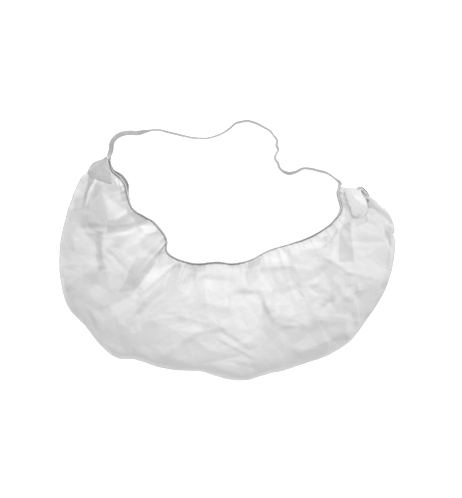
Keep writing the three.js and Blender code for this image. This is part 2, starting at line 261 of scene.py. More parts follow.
def finishPiece(piece, material, slot, *nodes):
    piece.data.materials.clear()
    piece.data.materials.append(material)
    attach(piece, "root")
    if nodes:
        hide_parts(*nodes)


# Shader maths: a Wire is one output socket, and sums, products and the like of wires and
# numbers add their Math nodes.
class Wire:
    def __init__(self, finish, socket):
        self.finish = finish
        self.socket = socket

    def maths(self, operation, *values):
        return self.finish.node("ShaderNodeMath", {"operation": operation}, dict(enumerate(values)))

    def __add__(self, other):
        return self.maths("ADD", self, other)

    def __radd__(self, other):
        return self.maths("ADD", other, self)

    def __sub__(self, other):
        return self.maths("SUBTRACT", self, other)

    def __rsub__(self, other):
        return self.maths("SUBTRACT", other, self)

    def __mul__(self, other):
        return self.maths("MULTIPLY", self, other)

    def __rmul__(self, other):
        return self.maths("MULTIPLY", other, self)

    def __truediv__(self, other):
        return self.maths("DIVIDE", self, other)

    def __rtruediv__(self, other):
        return self.maths("DIVIDE", other, self)

    def cosine(self):
        return self.maths("COSINE", self)

    def between(self, low, high):
        sockets = {"Value": self, "From Min": low, "From Max": high}
        return self.finish.node("ShaderNodeMapRange", {"interpolation_type": "SMOOTHSTEP"}, sockets)


# A material being made. node() adds any node: its settings first, then its sockets' values
# or wires, and it gives back the output asked for.
class Finish:
    def __init__(self, name):
        self.material = bpy.data.materials.new(name)
        self.material.use_nodes = True
        self.tree = self.material.node_tree
        self.tree.nodes.clear()

    def node(self, kind, settings, sockets, output=0):
        made = self.tree.nodes.new(kind)
        for key, value in settings.items():
            setattr(made, key, value)
        shown = [s for s in made.inputs if s.enabled]
        for key, value in sockets.items():
            socket = shown[key] if isinstance(key, int) else next(s for s in shown if s.name == key)
            if isinstance(value, Wire):
                self.tree.links.new(value.socket, socket)
            else:
                socket.default_value = value
        outputs = [s for s in made.outputs if s.enabled]
        if isinstance(output, str):
            output = [s.name for s in outputs].index(output)
        return Wire(self, outputs[output])

    # the plane of the cloth laid out flat, in metres, and its two coordinates
    def flatPlane(self):
        place = self.node("ShaderNodeUVMap", {"uv_map": "flat"}, {})
        return place, *(self.node("ShaderNodeSeparateXYZ", {}, {"Vector": place}, k) for k in (0, 1))

    def noise(self, place, scale, detail, roughness=0.5):
        sockets = {"Vector": place, "Scale": scale, "Detail": detail, "Roughness": roughness}
        return self.node("ShaderNodeTexNoise", {"noise_dimensions": "2D"}, sockets)

    def bump(self, strength, distance, height):
        return self.node("ShaderNodeBump", {}, {"Strength": strength, "Distance": distance, "Height": height})

    # a mix of two colours, where a number is a grey
    def mix(self, factor, under, over):
        a, b = (end if isinstance(end, Wire) else (end, end, end, 1) for end in (under, over))
        return self.node("ShaderNodeMix", {"data_type": "RGBA"}, {"Factor": factor, "A": a, "B": b})

    # one tint where an attribute of the mesh is above 0, another where it is below
    def tinted(self, attribute, colour, above, below):
        share = self.node("ShaderNodeAttribute", {"attribute_name": attribute}, {}, "Fac")
        colour = self.mix(share.between(0.0, 1.0), colour, above)
        return self.mix((0 - share).between(0.0, 1.0), colour, below)

    def surface(self, colour, roughness, more):
        sockets = {"Base Color": colour, "Roughness": roughness, **more}
        return self.node("ShaderNodeBsdfPrincipled", {}, sockets)

    def done(self, shader):
        out = self.tree.nodes.new("ShaderNodeOutputMaterial")
        self.tree.links.new(shader.socket, out.inputs["Surface"])
        return self.material


# Spunbond cloth: a web of fine fibres (three stretched noises), faint clouds in the web, and
# rows of pressed bond points, the product of two cosines on the cloth's own plane. Flat
# pyramids on scattered points, of two sizes, crumple it. Where the layers attribute is above 0
# it is greyer: painted shade, partly for cloth lying in two layers and partly for the shade of
# folds, hems and flaps. Where it is below 0 it is lighter: painted light.
clothLook = {
    "thin": 0.87,
    "dense": 0.90,
    "doubledAndShaded": 0.60,
    "paintedLight": 0.98,
    "through": 0.9,
    "roughness": 0.6,
    "bondPitch": 1.3 * mm,
    "fibreWidth": 0.35 * mm,
    "fibreTurns": (0.5, -0.65, 1.9),
    "fibreStretch": 0.12,
    "cloudSize": 6 * mm,
    "throughLight": 0.15,
    "webRelief": 0.016 * mm,
    # crumpled facets: size of a pyramid, its slope and the turn of its sides
    "creases": ((21 * mm, 0.065, 0.4), (9 * mm, 0.018, 1.1)),
    "opacity": (0.96, 1.0),
}


def clothMaterial(name, tone=1.0, layersAndShade=False):
    look = clothLook
    f = Finish(name)
    place, x, y = f.flatPlane()
    fibres = 0
    for turn in look["fibreTurns"]:
        stretched = {"Vector": place, "Rotation": (0, 0, turn), "Scale": (1, look["fibreStretch"], 1)}
        turned = f.node("ShaderNodeMapping", {}, stretched)
        fibres = fibres + f.noise(turned, 1 / look["fibreWidth"], 2.0, 0.6)
    fibres = fibres / len(look["fibreTurns"])
    clouds = f.noise(place, 1 / look["cloudSize"], 3.0)
    turns = math.pi / look["bondPitch"]
    bonds = (((x + y) * turns).cosine() * ((x - y) * turns).cosine()).between(0.35, 0.8)
    density = (clouds * 0.3 + fibres * 0.8).between(0.3, 0.85)
    colour = f.mix(density, look["thin"] * tone, look["dense"] * tone)
    if layersAndShade:
        # painted shade where the layers attribute is above 0, partly for two layers of cloth; painted light
        # where it is below 0
        colour = f.tinted("layers", colour, look["doubledAndShaded"], look["paintedLight"])
    height = (fibres * 0.6 - bonds * 0.3) * look["webRelief"]
    for cell, slope, turn in look["creases"]:
        turned = f.node("ShaderNodeMapping", {}, {"Vector": place, "Rotation": (0, 0, turn)})
        pyramids = {"voronoi_dimensions": "2D", "feature": "F1", "distance": "MANHATTAN"}
        sockets = {"Vector": turned, "Scale": 1 / cell}
        height = height + f.node("ShaderNodeTexVoronoi", pyramids, sockets, "Distance") * (cell * slope)
    low, high = look["opacity"]
    more = {
        "Specular IOR Level": 0.2,
        "Sheen Weight": 0.05,
        "Alpha": low + (high - low) * density,
        "Normal": f.bump(1.0, 1.0, height),
    }
    shell = f.surface(colour, look["roughness"], more)
    light = look["through"] * tone
    through = f.node("ShaderNodeBsdfTranslucent", {}, {"Color": (light, light, light, 1)})
    return f.done(f.node("ShaderNodeMixShader", {}, {0: look["throughLight"], 1: shell, 2: through}))


# Knitted elastic: ribs run along the band and rows of loops cross it, two cosines again.
elasticLook = {
    "dark": 0.45,
    "light": 0.66,
    # shaded: painted shade where the band's shade attribute is above 0; covered: painted light where it is
    # below 0
    "shaded": 0.25,
    "covered": 0.85,
    "loopPitch": 1.1 * mm,
    "loopBend": 1.4,
    "ribPitch": 0.9 * mm,
    "fuzzScale": 2600.0,
    "patchScale": 160.0,
    "relief": 0.18 * mm,
}


def elasticMaterial(name, tone=1.0):
    look = elasticLook
    f = Finish(name)
    place, x, y = f.flatPlane()
    ribs = (y * (2 * math.pi / look["ribPitch"])).cosine()
    loops = (x * (2 * math.pi / look["loopPitch"]) + ribs * look["loopBend"]).cosine()
    fuzz = f.noise(place, look["fuzzScale"], 3.0)
    patches = f.noise(place, look["patchScale"], 2.0)
    knit = loops * 0.25 + ribs * 0.2 + 0.5
    lightness = (knit * 0.6 + fuzz * 0.35 + patches * 0.5 - 0.25).between(0.0, 1.0)
    colour = f.mix(lightness, look["dark"] * tone, look["light"] * tone)
    # painted shade where the shade attribute is above 0, painted light where it is below 0
    colour = f.tinted("shade", colour, look["shaded"], look["covered"])
    bump = f.bump(0.6, look["relief"], knit + fuzz * 0.4)
    return f.done(f.surface(colour, 0.8, {"Specular IOR Level": 0.2, "Sheen Weight": 0.15, "Normal": bump}))


# Sewing thread: its two plies are one cosine that runs aslant.
threadLook = {"dark": 0.62, "light": 0.78, "plyAlong": 0.7 * mm, "plyRound": 0.5 * mm, "relief": 0.06 * mm}


def threadMaterial():
    look = threadLook
    f = Finish("sewing_thread")
    x, y = f.flatPlane()[1:]
    slant = x * (2 * math.pi / look["plyAlong"]) + y * (2 * math.pi / look["plyRound"])
    twist = slant.cosine() * 0.5 + 0.5
    colour = f.mix(twist, look["dark"], look["light"])
    return f.done(f.surface(colour, 0.6, {"Normal": f.bump(0.4, look["relief"], twist)}))


# The camera looks straight down from high above, so that the photo's frame spans the net.
cameraSet = {
    "height": 2.4,
    "filmSide": 36.0,
    "sharpHeight": 14 * mm,
    "middlePixel": (231.0, 249.0),
}


def overheadCamera():
    pixel = net["width"] / photo["netWide"]
    distance = cameraSet["height"] - cameraSet["sharpHeight"]
    camera = bpy.data.objects.new("camera", bpy.data.cameras.new("camera"))
    camera.data.sensor_width = cameraSet["filmSide"]
    camera.data.lens = cameraSet["filmSide"] * distance / (photo["high"] * pixel)
    camera.location = (*photoPlace(*cameraSet["middlePixel"]), cameraSet["height"])
    bpy.context.scene.collection.objects.link(camera)
    bpy.context.scene.camera = camera


overheadCamera()
print("camera set")

# The cloth's copies for the ends are darker, painted shade: the left tuck's stacked cloth and the rolled hem
# much darker, the right tuck's turned cloth slightly.
cloth = clothMaterial("nonwoven_cloth", layersAndShade=True)
turnedCloth = clothMaterial("turned_nonwoven", tone=0.98)
stackedShadedCloth = clothMaterial("stacked_nonwoven_painted_shade", tone=0.71)
rolledShadedCloth = clothMaterial("rolled_nonwoven_painted_shade", tone=0.72)
edgeElastic = elasticMaterial("mouth_elastic_knit")
looseElastic = elasticMaterial("head_elastic_knit", tone=1.05)
thread = threadMaterial()


# A flat band along a path. The profile is a rounded rectangle with ribs: cosine and sine of
# the turn, each raised to a low power, which fills the corners. Its width stands upright at
# tilt 0 and lies flat at tilt 90, turned about the path's direction.
bandLook = {
    "profilePoints": 40,
    "cornerPowers": (0.4, 0.55),
    "ribs": 5,
    "ribDepth": 0.16,
    "edgeStitch": 1.5 * mm,
    "edgeDepth": 0.12 * mm,
}


def setAttribute(piece, name, values):
    attribute = piece.data.attributes.new(name, "FLOAT", "POINT")
    attribute.data.foreach_set("value", values.astype(np.float32).ravel())


def bandPiece(name, path, tilt, shade, width, thickness):
    look = bandLook
    side, up = sideAndUp(path)
    lean = np.radians(tilt)[:, None]
    wide = up * np.cos(lean) + side * np.sin(lean)
    thick = side * np.cos(lean) - up * np.sin(lean)
    turn = np.linspace(0, 2 * np.pi, look["profilePoints"], endpoint=False)
    waves = zip((np.cos(turn), np.sin(turn)), look["cornerPowers"])
    across, over = (np.sign(wave) * np.abs(wave) ** power for wave, power in waves)
    over = over * (1 - look["ribDepth"] * (0.5 + 0.5 * np.cos(np.pi * look["ribs"] * (across + 1))))
    travelled = lengthAlong(path)
    serrated = width / 2 + look["edgeDepth"] * np.cos(2 * np.pi * travelled / look["edgeStitch"])
    points = (
        path[:, None, :]
        + wide[:, None, :] * (across[None, :, None] * serrated[:, None, None])
        + thick[:, None, :] * (over[None, :, None] * thickness / 2)
    )
    ring = lengthAlong(np.column_stack([across * width / 2, over * thickness / 2]))
    ring = np.append(ring, ring[-1] + ring[1])
    piece = gridPiece(name, points[:, ::-1], flatGrid(travelled, ring), closed=True, caps=True)
    setAttribute(piece, "shade", np.repeat(shade, look["profilePoints"]))
    return piece


# Places at even steps along a path, and how far along it they lie.
def evenly(path, step):
    travelled = lengthAlong(path)
    wanted = np.linspace(0, travelled[-1], max(2, int(round(travelled[-1] / step)) + 1))
    return np.stack([np.interp(wanted, travelled, path[:, k]) for k in range(3)], axis=1), wanted


# The head elastic: route of the model's free strand, as shares, and how it leans on the way.
headRoute = [
    [-0.698, 1.03], [-0.692, 1.048], [-0.681, 1.069], [-0.656, 1.089], [-0.614, 1.102], [-0.58, 1.104],
    [-0.539, 1.103], [-0.491, 1.11], [-0.443, 1.116], [-0.402, 1.115], [-0.361, 1.107], [-0.299, 1.096],
    [-0.224, 1.083], [-0.168, 1.079], [-0.114, 1.08], [-0.066, 1.09], [-0.024, 1.104], [0.013, 1.123],
    [0.049, 1.146], [0.084, 1.153], [0.118, 1.157], [0.166, 1.148], [0.214, 1.13], [0.255, 1.112],
    [0.279, 1.089], [0.299, 1.068], [0.294, 1.048], [0.304, 1.029], [0.287, 1], [0.288, 0.981],
    [0.303, 0.968], [0.31, 0.949], [0.33, 0.932], [0.37, 0.921], [0.415, 0.929], [0.448, 0.942],
    [0.487, 0.943], [0.54, 0.934], [0.599, 0.921], [0.647, 0.896],
]
headElastic = {
    "step": 0.9 * mm,
    "thickness": 1.25 * mm,
    "tucked": 1.8 * mm,
    "endRise": 9 * mm,
    # photo pixel x, y of a point of the strand, its lean in degrees there, its shade, and how
    # many mm it lies to the right of the route
    # the shade column is painted shade along the strand above 0 and painted light below 0
    "leans": [
        (109, 160, 14, 0.3, 0.5), (109, 157, 30, 0.4, 1.2), (109, 152, 78, 0.45, 0.9),
        (111, 143, 96, 0.4, -0.9), (114, 137, 96, 0.35, -0.6), (125, 132, 92, 0.3, 0),
        (136, 131, 82, 0.1, 0), (143, 131, 45, 0, 0), (151, 129, 14, 0, 0), (175, 132, 20, 0, 0),
        (205, 136, 8, 0, 0), (235, 126, 18, 0, 0), (255, 122, 22, 0, 0), (273, 134, 14, 0, 0),
        (277, 147, 26, 0, 0), (276, 160, 20, 0, 0), (281, 169, 26, -0.1, 0), (289, 173, 44, -0.1, 0),
        (297, 172, 30, 0, 0), (305, 168, 20, 0, 0), (322, 170, 26, 0, 0), (334, 179, 12, 0, 0),
        (340, 184, 40, 0.3, 0),
    ],
}


# The strand's middle line, lean and shade: the route with its two sewn ends, moved aside and
# lowered as the chart says.
def headElasticPath():
    look = headElastic
    ends = sectionsAt(np.array([0.0, 1.0]))
    outwards = ends["along"] * np.array([[-1.0], [1.0]])
    places = ends["front"] + ends["outward"] * (net["seatGap"] + net["elasticThickness"] / 2)
    places = places + outwards * (net["joinGap"] + net["elasticThickness"] / 2)
    leads = places + outwards * net["headElasticLead"]
    places = places - outwards * look["tucked"]
    endHeight = (backElasticHeight + frontElasticLowest) / 2
    lying = net["headElasticGap"] + net["elasticWidth"] / 2
    middle = np.column_stack([placeOf(headRoute), np.full(len(headRoute), lying)])
    start, finish = (
        np.column_stack([pair, [endHeight] * 2]) for pair in ((places[0], leads[0]), (leads[1], places[1]))
    )
    route = np.vstack([start, middle, finish])
    path, travelled = evenly(smoothThrough(route, np.linspace(0, 1, 3000)), look["step"])
    lean, shade, aside = chartAlong(look["leans"], path[:, :2], travelled, travelled)
    forward = unit(np.gradient(path[:, :2], axis=0))
    path[:, :2] += np.stack([forward[:, 1], -forward[:, 0]], axis=-1) * aside[:, None] * mm
    # where it leans it lies lower: half its upright reach above the surface
    turned = np.radians(lean)
    reach = np.abs(np.cos(turned)) * net["elasticWidth"] + np.sin(turned) * look["thickness"]
    fromEnd = np.minimum(travelled, travelled[-1] - travelled)
    lifted = smoothStep(1 - fromEnd / look["endRise"])
    path[:, 2] = reach / 2 + net["floorGap"] + (endHeight - lying) * lifted
    return path, lean, shade


path, lean, shade = headElasticPath()
strand = bandPiece("head_elastic_strand", path, lean, shade, net["elasticWidth"], headElastic["thickness"])
finishPiece(strand, looseElastic, "knitted_elastic", "head_elastic")
print("head elastic laid")

# The pouch's fine surface.
pouchLook = {
    "columns": 400,
    "topRows": 110,
    "underRows": 13,
    "thickness": 0.3 * mm,
    "overlap": 0.45 * mm,
    "cover": 1.3 * mm,
    "foldStrength": 1.15,
    "foldFade": 7 * mm,
    "rimFade": 5 * mm,
    "hemFade": 0.08,
    "facets": ((27 * mm, 1.2 * mm), (13 * mm, 0.2 * mm)),
    "hemPush": 0.8 * mm,
    "hemPaintedShade": 0.85,
    "hemBand": 1.3 * mm,
    "rimFacets": 0.4,
    "underFade": 0.3,
    "underGathers": 0.6,
    "wanderPitch": 11 * mm,
    # gathers of two sizes: pitch, height and reach of the waves, how far they wander, and the
    # highest share of the height that is drawn and the power it is raised to
    "gathers": (
        (4.6 * mm, 0.9 * mm, 7 * mm, 2.2, 1.1, 3),
        (17 * mm, 1.6 * mm, 20 * mm, 2.5, 1.0, 2),
    ),
    "smoothEdge": 2.5 * mm,
    "smoothShare": 0.85,
    "calmEnd": 45 * mm,
    "calmLeast": 0.25,
}

# Folds read from the photo: pixel x and y of a fold's two ends, its rise in mm (a ridge, or
# a valley below 0), and its left and right flanks in mm, seen from above along it.
foldChart = np.array([
    [98, 176, 89, 192, 1.1, 7, 2.2],
    [115, 178, 120, 189, 0.5, 1.8, 1.8],
    [119.5, 180, 124, 191, 0.5, 1.8, 1.8],
    [89, 192, 83, 224, 1.1, 10, 2.6],
    [88, 186, 83, 197, -0.9, 3, 3],
    [83, 228, 108, 228, -1.3, 16, 4],
    [108, 232, 128, 229.5, -1.0, 12, 4],
    [128, 229.5, 141, 224, -0.9, 9, 4],
    [84, 229, 99, 245, -0.9, 4, 12],
    [98, 238, 101, 263, -1.0, 5, 8],
    [101, 264, 66, 286, 1.7, 15, 8],
    [66, 286, 64, 292, 1.2, 8, 6],
    [122, 251.5, 158, 232, 1.0, 6, 8],
    [103, 252, 120, 236, 1.5, 7, 12],
    [120, 236, 140, 228.5, 1.3, 6, 10],
    [140, 224, 158, 225, -1.1, 8, 3],
    [110, 254, 122, 265, -0.8, 3, 4],
    [157, 260, 137, 290, -1.7, 9, 15],
    [175, 263, 144, 291, 1.1, 3, 10],
    [157, 297, 139, 315, -1.5, 3, 5],
    [139, 315, 134, 326, -1.4, 3, 4],
    [137, 292, 101, 312, -1.4, 9, 13],
    [90, 316, 96, 332, -1.0, 4, 5],
    [182, 270, 176, 282, 1.2, 4, 5],
    [190, 275, 180, 293, -0.8, 3.5, 5],
    [196, 279, 186, 296, 1.3, 5, 3],
    [205, 279, 229, 281, -0.9, 4, 18],
    [206, 303, 230, 307.5, 0.6, 6, 6],
    [222, 327, 197, 332, 0.8, 3.5, 12],
    [197, 332, 165, 355, 0.9, 4, 12],
    [222, 327, 248, 345, 0.8, 8, 4],
    [221, 339, 250, 355, 0.7, 5, 2.4],
    [150, 321, 182, 316, 0.9, 8, 6],
    [182, 316, 204, 322, 0.9, 8, 6],
    [238, 293.5, 263, 293.5, -0.9, 3, 20],
    [263, 294, 267, 306, 1.4, 8, 4],
    [267, 306, 273, 318, 1.2, 8, 4],
    [262, 258, 246, 288, 0.7, 6, 8],
    [262, 268, 288, 266, 1.4, 9, 4],
    [262, 251, 286, 251, -0.9, 4, 8],
    [288, 256, 289, 272, -1.6, 6, 5],
    [289, 272, 302, 296, -1.0, 7, 6],
    [302, 296, 325, 307, -0.85, 6, 9],
    [306, 286, 322, 271, -0.9, 5, 4],
    [306, 286, 314, 283, 1.0, 4, 4],
    [324, 257, 340, 266, 0.55, 9, 3],
    [340, 266, 348, 272, 0.55, 9, 3],
    [348, 272, 377, 279, 0.5, 11, 3],
    [329, 285, 330, 302, -1.1, 4, 5],
    [330, 302, 322, 308, -1.0, 4, 5],
    [337, 284, 346, 296, 1.1, 6, 5],
    [346, 296, 360, 290, 1.1, 6, 5],
    [353, 299, 357, 321, 1.0, 3, 4],
    [340, 230, 337, 262, -0.9, 7, 5],
    [352, 228, 353, 262, 0.8, 6, 5],
    [353, 242, 379, 242, -0.8, 5, 5],
    [364, 212, 352, 222, -1.0, 4, 5],
    [370, 200, 388, 228, 1.4, 5, 9],
    [385, 229, 391, 247, -1.3, 4, 3],
    [275, 315, 290, 318, 1.0, 12, 14],
    [290, 318, 305, 324, 1.0, 12, 14],
    [305, 324, 317, 314, 1.0, 12, 14],
    [317, 314, 345, 317, 0.9, 12, 14],
    [86, 338, 118, 352, 1.2, 5, 7],
    [300, 352, 345, 332, 1.3, 9, 8],
    [286, 325, 293, 325, 0.7, 3, 3],
], float)

# Painted shade (above 0) and painted light (below 0) on the cloth, the shade partly for cloth
# lying in two layers and partly for the shade of folds, hems and flaps: how much, over how
# many mm its edge fades, and then x and y of each corner of its outline in photo pixels.
layerAndShadeChart = [
    (-0.5, 22, 175, 285, 215, 275, 262, 278, 272, 312, 262, 352, 225, 372, 175, 362, 150, 340, 150, 318),
    (0.22, 12, 60, 250, 70, 200, 90, 175, 112, 180, 132, 214, 120, 232, 84, 236, 82, 260),
    (0.36, 5, 93, 181, 102, 186, 104, 198, 108, 212, 108, 227, 83, 227, 86, 212, 91, 194),
    (0.45, 1.4, 108, 221, 118, 219, 128, 212, 134, 211, 150, 219, 141, 223, 126, 231, 108, 233),
    (0.2, 1.2, 84, 229, 96.5, 230.5, 97, 246),
    (0.4, 2, 96.5, 231, 103.6, 231.5, 103.4, 262, 108, 268, 100, 270, 96.5, 256),
    (0.42, 1.2, 137, 257, 158, 258, 148, 276, 137, 291, 119, 292, 127, 280, 129, 271),
    (-1, 1, 153.5, 267.5, 163, 267.5, 175.5, 263.5, 146, 291.5, 134, 292),
    (0.45, 1.2, 173, 267, 181, 263, 183, 276, 172, 286, 165, 288),
    (-0.8, 1.2, 141, 226, 155, 225, 158, 230, 150, 233, 143, 233),
    (-0.35, 1.9, 205, 279, 212, 280, 218, 286, 226, 284, 228, 296, 228, 306, 219, 307, 209, 303,
     205, 295),
    (0.35, 1.2, 250, 256, 262, 256, 258, 270, 247, 290, 243, 290, 246, 272),
    (-0.55, 1.2, 261, 262, 266, 254, 278, 249, 286, 251, 287, 261, 273, 263),
    (0.25, 1, 260, 264, 288, 262, 288, 269, 262, 269),
    (-0.5, 1.9, 232, 296, 262, 295, 262, 312, 255, 328, 240, 330, 230, 312),
    (0.3, 1.4, 262, 293, 265, 296, 266, 306, 272, 316, 277, 318, 264, 322, 261, 312, 263, 304),
    (0.32, 1.6, 196, 264, 206, 262, 204, 278, 206, 300, 210, 326, 204, 330, 194, 300, 192, 276),
    (0.3, 1.9, 176, 262, 196, 266, 198, 274, 190, 290, 180, 296, 184, 280),
    (0.3, 0.9, 249, 292, 262, 293, 261, 300, 252, 298),
    (-0.6, 1.2, 277, 284, 290, 283, 304, 300, 308, 311, 290, 316, 276, 312, 274, 296),
    (0.1, 2.5, 264, 321, 275, 315, 290, 318, 306, 325, 317, 315, 345, 318, 346, 342, 302, 358, 264, 352,
     257, 336),
    (0.5, 1.4, 339, 229, 344, 224, 350, 222, 351, 236, 353, 250, 353, 262, 338, 262, 338, 246),
    (-0.5, 1.2, 333, 246, 336, 246, 335, 261, 331, 261),
    (0.25, 1, 322, 256, 334, 262, 340, 268, 334, 276, 318, 281, 316, 274, 326, 270),
    (0.3, 5, 356, 285, 378, 283, 389, 280, 384, 300, 370, 319, 350, 318),
    (0.2, 1.9, 369, 203, 383, 212, 386, 222, 377, 227, 364, 222),
    (0.4, 1.9, 360, 190, 370, 199, 380, 206, 391, 218, 396, 232, 392, 238, 386, 222, 376, 210, 366, 204),
    (0.2, 2.5, 354, 218, 372, 226, 392, 226, 390, 238, 356, 236),
    (-0.6, 0.8, 97.5, 176, 99, 177, 91, 192, 87.5, 206, 86, 206, 88.5, 192),
    (0.6, 1, 89, 175, 96, 177, 91, 186, 86, 199, 83, 200, 87, 187),
    (0.3, 2.5, 98, 176, 112, 178, 127, 192, 131, 214, 112, 200, 101, 190, 93, 200),
    (0.25, 1.9, 109, 166, 114, 172, 120, 181, 118, 192, 107, 190, 104, 182),
    (0.28, 1.6, 389, 232, 394, 232, 395, 254, 391, 272, 384, 290, 380, 288, 386, 268, 388, 250),
    (-0.7, 0.5, 115, 178, 116.2, 177.8, 120, 189, 118.8, 189.4),
    (-0.7, 0.5, 119, 180, 120.2, 179.8, 124, 191, 122.8, 191.4),
    (0.35, 1.2, 88, 222, 112, 226, 130, 224, 141, 218, 150, 222, 141, 226, 128, 233, 108, 236, 90, 230),
    (0.15, 6, 60, 270, 84, 268, 80, 288, 66, 292),
    (0.1, 2.5, 96, 254, 110, 250, 122, 264, 112, 276, 98, 274),
    (0.34, 2.5, 140, 238, 160, 230, 166, 240, 165, 252, 156, 258, 142, 250),
    (0.35, 1.9, 134, 212, 146, 219, 156, 226, 160, 234, 146, 236, 136, 228),
    (0.2, 1.9, 168, 256, 200, 265, 250, 262, 290, 248, 290, 254, 250, 268, 200, 272, 168, 264),
    (0.3, 1.9, 300, 250, 320, 248, 330, 240, 338, 226, 338, 244, 330, 256, 308, 258, 298, 256),
    (0.25, 2.5, 352, 243, 378, 243, 390, 246, 388, 266, 380, 262, 372, 250, 354, 250),
    (0.32, 2.5, 312, 308, 322, 304, 334, 301, 346, 304, 351, 310, 345, 314.5, 316, 314),
    (0.25, 2.5, 318, 320, 345, 322, 350, 340, 330, 342),
    (0.2, 1.2, 344, 336, 356, 330, 366, 312, 372, 312, 358, 332, 346, 342),
    (0.12, 1.9, 92, 252, 112, 256, 118, 266, 100, 272, 94, 266),
    (0.2, 2.5, 64, 276, 98, 272, 100, 284, 66, 292),
    (0.25, 1.6, 144, 300, 152, 302, 146, 316, 138, 314),
    (0.25, 1.6, 148, 314, 186, 312, 186, 320, 150, 320),
    (-0.32, 5, 192, 344, 214, 350, 262, 352, 262, 364, 218, 364, 192, 362),
    (-0.6, 1.2, 140, 290, 160, 276, 162, 284, 146, 298),
    (-0.35, 1.9, 300, 290, 330, 296, 352, 294, 356, 320, 350, 304, 322, 304, 306, 300),
    (-0.6, 1, 304, 245, 312, 242, 324, 242.5, 321, 248, 306, 249),
    (-0.22, 1.6, 110, 243, 122, 240, 134, 243, 136, 254, 129, 264, 120, 271, 111, 262),
    (0.16, 4, 202, 276, 236, 264, 252, 266, 250, 288, 206, 290),
    (-0.3, 2, 183, 288, 191, 290, 188, 308, 181, 306),
    (-0.25, 2, 278, 322, 300, 322, 300, 332, 276, 332),
    (0.28, 2, 74, 200, 84, 196, 90, 202, 90, 211, 74, 211),
    (0.35, 1.2, 344, 284, 356, 283, 358, 292, 350, 296, 343, 292),
    (0.7, 0.9, 356, 186, 362, 187, 371, 197, 378, 202, 374, 208, 366, 207, 359, 194),
    (0.2, 1.9, 110, 170, 118, 173, 127, 186, 128, 196, 118, 188, 112, 180),
    (0.45, 1.2, 364, 197, 375, 201, 386, 209, 393, 219, 395, 226, 390, 224, 384, 216, 374, 209, 366, 207),
    (0.4, 1, 384, 228, 389, 232, 391, 244, 388, 245, 384, 237),
    (-0.4, 1.2, 338, 191, 347, 191, 349, 206, 343, 212, 339, 204),
    (0.3, 1.2, 345, 206, 350, 212, 356, 219, 366, 214, 368, 222, 352, 228, 344, 222),
    (0.25, 1.2, 307, 238, 328, 236, 326, 247, 318, 249, 309, 244),
    (-0.3, 1.2, 286, 249, 296, 250, 292, 258, 284, 256),
    (0.3, 1.2, 160, 250, 170, 256, 178, 266, 166, 272, 158, 262),
    (-0.35, 1, 180, 268, 188, 268, 184, 276, 179, 278),
    (0.25, 1.2, 186, 276, 192, 272, 190, 286, 182, 294, 181, 286),
    (-0.4, 1.2, 264, 264, 296, 264, 312, 268, 314, 276, 302, 272, 264, 272),
    (0.4, 1.2, 280, 271, 290, 271, 294, 280, 286, 282),
    (0.35, 1.2, 292, 286, 300, 290, 308, 300, 300, 302),
    (-0.35, 1.9, 236, 340, 260, 340, 262, 350, 240, 352),
    (0.3, 1.2, 148, 312, 184, 312, 184, 320, 148, 321),
    (0.3, 1.2, 126, 318, 138, 316, 138, 330, 128, 332),
    (0.3, 1, 84, 232, 90, 234, 102, 246, 102, 254, 92, 244),
    (0.35, 1.2, 84, 196, 90, 196, 88, 208, 82, 208),
    (0.35, 1, 78, 176, 88, 174, 90, 180, 82, 184),
    (-0.3, 1.9, 74, 236, 86, 242, 86, 254, 76, 252),
    (0.35, 1.2, 126, 206, 133, 209, 144, 218, 140, 222, 128, 214),
    (0.3, 1.2, 118, 184, 126, 186, 128, 200, 122, 202),
    (0.3, 1.2, 326, 226, 336, 222, 338, 232, 330, 244, 322, 240),
    (0.12, 1.6, 344, 214, 351, 214, 354, 222, 350, 228, 344, 226),
    (-0.5, 1.2, 256, 268, 270, 268, 274, 280, 278, 288, 270, 292, 262, 282),
    (-0.5, 1.6, 299, 280, 308, 284, 318, 288, 330, 298, 318, 302, 304, 298),
    (-0.4, 1.2, 342, 268, 372, 272, 374, 277, 348, 277),
    (-0.25, 2.5, 92, 290, 110, 292, 112, 304, 98, 306),
    (0.2, 2.5, 84, 262, 100, 266, 112, 274, 106, 286, 84, 284),
    (0.25, 1.6, 200, 334, 212, 334, 216, 344, 204, 342),
    (-0.4, 1.2, 214, 326, 222, 326, 232, 336, 224, 338),
    (-0.3, 1.9, 152, 342, 162, 344, 164, 354, 150, 352),
    (0.25, 6, 68, 290, 100, 296, 118, 312, 130, 345, 96, 330, 72, 308),
    (0.18, 8, 70, 200, 84, 190, 84, 226, 98, 262, 66, 284, 60, 240),
]


# How far the outline runs outside (or inside, below 0) the smooth one: photo pixel x and y of
# a point of it and the distance in mm.
outlineChart = np.array([
    [98, 161, 0], [91, 166, 0.6], [88, 172, -0.8], [83, 177, 0.6], [70, 206, 0.6], [64, 228, 0.4],
    [61, 262, 0.3], [66, 298, 0.6], [84, 326, -0.4], [107, 350, 0.6], [120, 357, 3.4], [134, 359, 1.2],
    [146, 363, 0.8], [158, 366.5, 1.6], [170, 368.5, 0.6], [190, 371, 0], [204, 373, -0.4],
    [225, 377.5, 1.0], [250, 378.5, 1.0], [272, 372.5, -0.5], [290, 367.5, 0.6], [301, 364, 0.6],
    [328, 354, 0.2], [350, 339, 0.6], [368, 313, 0.4], [383, 290, 0.6], [391, 268, 0.6],
    [394, 250, 0.0], [395, 238, 0.3], [392, 234.5, -1.6], [394.5, 229, 0.4], [391, 219, -0.2],
    [385, 211.5, -0.3], [379, 206, 1.5], [374, 201, 2.8], [369.5, 199.5, 2.4], [364, 191, 3.4],
    [359, 188, 3.6],
], float)


# The outline's shift at each place of the hem.
def outlineShift(hem):
    order = np.arange(len(hem))
    return chartAlong(outlineChart, hem, order, order)[0] * mm


